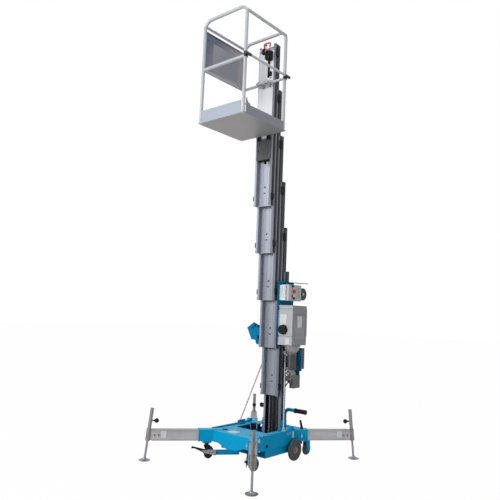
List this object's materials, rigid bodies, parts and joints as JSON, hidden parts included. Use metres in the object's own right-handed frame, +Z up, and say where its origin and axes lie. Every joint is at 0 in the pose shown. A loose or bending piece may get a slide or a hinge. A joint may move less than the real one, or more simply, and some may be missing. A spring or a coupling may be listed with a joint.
{
  "type": "aerial work platform",
  "caption": "Push-around aerial work platform: railed one-person deck on a nested telescopic mast, with a wheeled base, levelling outriggers and ground controls.",
  "frame": {"origin": "ground level, midway between the four foot pads", "axes": "+Z up; -Y towards the machine's front, where the deck hangs; +X towards its control side"},
  "size_m": [1.5224, 1.8236, 4.603],
  "materials": {
    "base_paint": "gloss",
    "bracket_paint": "satin",
    "mast_alloy": "satin",
    "deck_alloy": "satin",
    "beam_alloy": "satin",
    "steel": "satin",
    "black_plastic": "matte",
    "tyre_rubber": "matte",
    "housing_plastic": "satin",
    "red_plastic": "satin"
  },
  "bodies": {
    "base": {"base_frame": "base_paint", "base_keel": "base_paint", "base_column": "mast_alloy", "brace_rods": "steel", "mast_brackets": "bracket_paint", "control_box": "housing_plastic", "charger_box": "housing_plastic", "power_unit": "steel", "lift_cylinder": "steel", "push_handle": "base_paint", "handle_grips": "black_plastic"},
    "column_2": {"mast_column_2": "mast_alloy", "column_caps_2": "black_plastic"},
    "column_3": {"mast_column_3": "mast_alloy", "column_caps_3": "black_plastic"},
    "column_4": {"mast_column_4": "mast_alloy", "column_caps_4": "black_plastic"},
    "column_5": {"mast_column_5": "mast_alloy", "column_caps_5": "black_plastic"},
    "column_6": {"mast_column_6": "mast_alloy", "column_caps_6": "black_plastic"},
    "deck": {"carriage": "mast_alloy", "carriage_fittings": "black_plastic", "platform_floor": "deck_alloy", "guard_rails": "deck_alloy", "rail_clamps": "steel", "side_panel": "deck_alloy", "platform_controls": "black_plastic"},
    "outrigger_fl": {"outrigger_beam_fl": "beam_alloy"},
    "jack_fl": {"leg_fl": "steel"},
    "knob_fl": {"leg_knob_fl": "black_plastic"},
    "pin_fl": {"lock_pin_fl": "steel"},
    "outrigger_fr": {"outrigger_beam_fr": "beam_alloy"},
    "jack_fr": {"leg_fr": "steel"},
    "knob_fr": {"leg_knob_fr": "black_plastic"},
    "pin_fr": {"lock_pin_fr": "steel"},
    "outrigger_rl": {"outrigger_beam_rl": "beam_alloy"},
    "jack_rl": {"leg_rl": "steel"},
    "knob_rl": {"leg_knob_rl": "black_plastic"},
    "pin_rl": {"lock_pin_rl": "steel"},
    "outrigger_rr": {"outrigger_beam_rr": "beam_alloy"},
    "jack_rr": {"leg_rr": "steel"},
    "knob_rr": {"leg_knob_rr": "black_plastic"},
    "pin_rr": {"lock_pin_rr": "steel"},
    "caster_left": {"caster_fork_left": "steel"},
    "caster_roll_left": {"caster_wheel_left": "tyre_rubber"},
    "side_roll_left": {"side_wheel_left": "tyre_rubber"},
    "rear_roll_left": {"rear_wheel_left": "tyre_rubber"},
    "brake_left": {"brake_pedal_left": "black_plastic"},
    "caster_right": {"caster_fork_right": "steel"},
    "caster_roll_right": {"caster_wheel_right": "tyre_rubber"},
    "side_roll_right": {"side_wheel_right": "tyre_rubber"},
    "rear_roll_right": {"rear_wheel_right": "tyre_rubber"},
    "brake_right": {"brake_pedal_right": "black_plastic"},
    "stop_button": {"emergency_stop": "red_plastic"},
    "key": {"mode_key": "steel"},
    "charge_dial": {"charger_knob": "black_plastic"},
    "deck_lever": {"control_lever": "red_plastic"},
    "entry_bar": {"entry_rail": "deck_alloy"},
    "corner_lever": {"socket_lever": "black_plastic"}
  },
  "joints": [
    {"name": "mast_lift", "type": "slide", "parent": "base", "child": "column_2", "axis": [0, 0, 1], "range_m": [-0.506, 0.94]},
    {"name": "stage_3_lift", "type": "slide", "parent": "column_2", "child": "column_3", "axis": [0, 0, 1], "range_m": [-0.506, 0.94]},
    {"name": "stage_4_lift", "type": "slide", "parent": "column_3", "child": "column_4", "axis": [0, 0, 1], "range_m": [-0.506, 0.94]},
    {"name": "stage_5_lift", "type": "slide", "parent": "column_4", "child": "column_5", "axis": [0, 0, 1], "range_m": [-0.506, 0.94]},
    {"name": "stage_6_lift", "type": "slide", "parent": "column_5", "child": "column_6", "axis": [0, 0, 1], "range_m": [-0.506, 0.94]},
    {"name": "deck_lift", "type": "slide", "parent": "column_6", "child": "deck", "axis": [0, 0, 1], "range_m": [-0.506, 0.94]},
    {"name": "outrigger_slide_fl", "type": "slide", "parent": "base", "child": "outrigger_fl", "axis": [-0.6358, -0.7718, 0], "range_m": [0, 0.15]},
    {"name": "leg_screw_fl", "type": "slide", "parent": "outrigger_fl", "child": "jack_fl", "axis": [-0.0616, -0.0747, -0.9953], "range_m": [-0.12, 0.06]},
    {"name": "leg_clamp_fl", "type": "hinge", "parent": "outrigger_fl", "child": "knob_fl", "pos_m": [-0.65738, -0.79795, 0.39], "axis": [-0.6358, -0.7718, 0], "range_deg": [-180, 180]},
    {"name": "pin_pull_fl", "type": "slide", "parent": "base", "child": "pin_fl", "axis": [-0.7718, 0.6358, 0], "range_m": [0, 0.02], "stiffness_N_per_m": 300},
    {"name": "outrigger_slide_fr", "type": "slide", "parent": "base", "child": "outrigger_fr", "axis": [0.6358, -0.7718, 0], "range_m": [0, 0.15]},
    {"name": "leg_screw_fr", "type": "slide", "parent": "outrigger_fr", "child": "jack_fr", "axis": [0.0616, -0.0747, -0.9953], "range_m": [-0.12, 0.06]},
    {"name": "leg_clamp_fr", "type": "hinge", "parent": "outrigger_fr", "child": "knob_fr", "pos_m": [0.65738, -0.79795, 0.39], "axis": [0.6358, -0.7718, 0], "range_deg": [-180, 180]},
    {"name": "pin_pull_fr", "type": "slide", "parent": "base", "child": "pin_fr", "axis": [-0.7718, -0.6358, 0], "range_m": [0, 0.02], "stiffness_N_per_m": 300},
    {"name": "outrigger_slide_rl", "type": "slide", "parent": "base", "child": "outrigger_rl", "axis": [-0.6358, 0.7718, 0], "range_m": [0, 0.15]},
    {"name": "leg_screw_rl", "type": "slide", "parent": "outrigger_rl", "child": "jack_rl", "axis": [-0.0616, 0.0747, -0.9953], "range_m": [-0.12, 0.06]},
    {"name": "leg_clamp_rl", "type": "hinge", "parent": "outrigger_rl", "child": "knob_rl", "pos_m": [-0.65738, 0.79795, 0.39], "axis": [-0.6358, 0.7718, 0], "range_deg": [-180, 180]},
    {"name": "pin_pull_rl", "type": "slide", "parent": "base", "child": "pin_rl", "axis": [0.7718, 0.6358, 0], "range_m": [0, 0.02], "stiffness_N_per_m": 300},
    {"name": "outrigger_slide_rr", "type": "slide", "parent": "base", "child": "outrigger_rr", "axis": [0.6358, 0.7718, 0], "range_m": [0, 0.15]},
    {"name": "leg_screw_rr", "type": "slide", "parent": "outrigger_rr", "child": "jack_rr", "axis": [0.0616, 0.0747, -0.9953], "range_m": [-0.12, 0.06]},
    {"name": "leg_clamp_rr", "type": "hinge", "parent": "outrigger_rr", "child": "knob_rr", "pos_m": [0.65738, 0.79795, 0.39], "axis": [0.6358, 0.7718, 0], "range_deg": [-180, 180]},
    {"name": "pin_pull_rr", "type": "slide", "parent": "base", "child": "pin_rr", "axis": [0.7718, -0.6358, 0], "range_m": [0, 0.02], "stiffness_N_per_m": 300},
    {"name": "caster_swivel_left", "type": "hinge", "parent": "base", "child": "caster_left", "pos_m": [-0.305, -0.38, 0.17], "axis": [0, 0, 1], "range_deg": [-30, 30]},
    {"name": "caster_spin_left", "type": "hinge", "parent": "caster_left", "child": "caster_roll_left", "pos_m": [-0.305, -0.345, 0.0725], "axis": [1, 0, 0], "continuous": true},
    {"name": "side_wheel_spin_left", "type": "hinge", "parent": "base", "child": "side_roll_left", "pos_m": [-0.35, 0.258, 0.119], "axis": [1, 0, 0], "continuous": true},
    {"name": "rear_wheel_spin_left", "type": "hinge", "parent": "base", "child": "rear_roll_left", "pos_m": [-0.3, 0.545, 0.0775], "axis": [1, 0, 0], "continuous": true},
    {"name": "brake_press_left", "type": "hinge", "parent": "base", "child": "brake_left", "pos_m": [-0.25208, -0.39091, 0.088], "axis": [0.7718, -0.6358, 0], "range_deg": [-14, 4]},
    {"name": "caster_swivel_right", "type": "hinge", "parent": "base", "child": "caster_right", "pos_m": [0.305, -0.38, 0.17], "axis": [0, 0, 1], "range_deg": [-30, 30]},
    {"name": "caster_spin_right", "type": "hinge", "parent": "caster_right", "child": "caster_roll_right", "pos_m": [0.305, -0.345, 0.0725], "axis": [1, 0, 0], "continuous": true},
    {"name": "side_wheel_spin_right", "type": "hinge", "parent": "base", "child": "side_roll_right", "pos_m": [0.35, 0.258, 0.119], "axis": [1, 0, 0], "continuous": true},
    {"name": "rear_wheel_spin_right", "type": "hinge", "parent": "base", "child": "rear_roll_right", "pos_m": [0.3, 0.545, 0.0775], "axis": [1, 0, 0], "continuous": true},
    {"name": "brake_press_right", "type": "hinge", "parent": "base", "child": "brake_right", "pos_m": [0.25208, -0.39091, 0.088], "axis": [0.7718, 0.6358, 0], "range_deg": [-4, 14]},
    {"name": "stop_press", "type": "slide", "parent": "base", "child": "stop_button", "axis": [-1, 0, 0], "range_m": [0, 0.0035], "stiffness_N_per_m": 1500},
    {"name": "key_turn", "type": "hinge", "parent": "base", "child": "key", "pos_m": [0.259, 0.275, 1.711], "axis": [1, 0, 0], "range_deg": [-45, 45]},
    {"name": "charger_dial_turn", "type": "hinge", "parent": "base", "child": "charge_dial", "pos_m": [0.208, 0.18, 1.35], "axis": [0, 1, 0], "range_deg": [-150, 150]},
    {"name": "deck_lever_tilt", "type": "hinge", "parent": "deck", "child": "deck_lever", "pos_m": [0.052, -0.09, 4.4], "axis": [0, 1, 0], "range_deg": [-25, 25]},
    {"name": "entry_bar_lift", "type": "slide", "parent": "deck", "child": "entry_bar", "axis": [0, 0, 1], "range_m": [0, 0.38]},
    {"name": "corner_lever_turn", "type": "hinge", "parent": "base", "child": "corner_lever", "pos_m": [0.33064, 0.40134, 0.32], "axis": [0, 0, 1], "range_deg": [-60, 60]}
  ],
  "couplings": [
    {"joint": "stage_3_lift", "follows": "mast_lift", "ratio": 1},
    {"joint": "stage_4_lift", "follows": "mast_lift", "ratio": 1},
    {"joint": "stage_5_lift", "follows": "mast_lift", "ratio": 1},
    {"joint": "stage_6_lift", "follows": "mast_lift", "ratio": 1},
    {"joint": "deck_lift", "follows": "mast_lift", "ratio": 1}
  ]
}
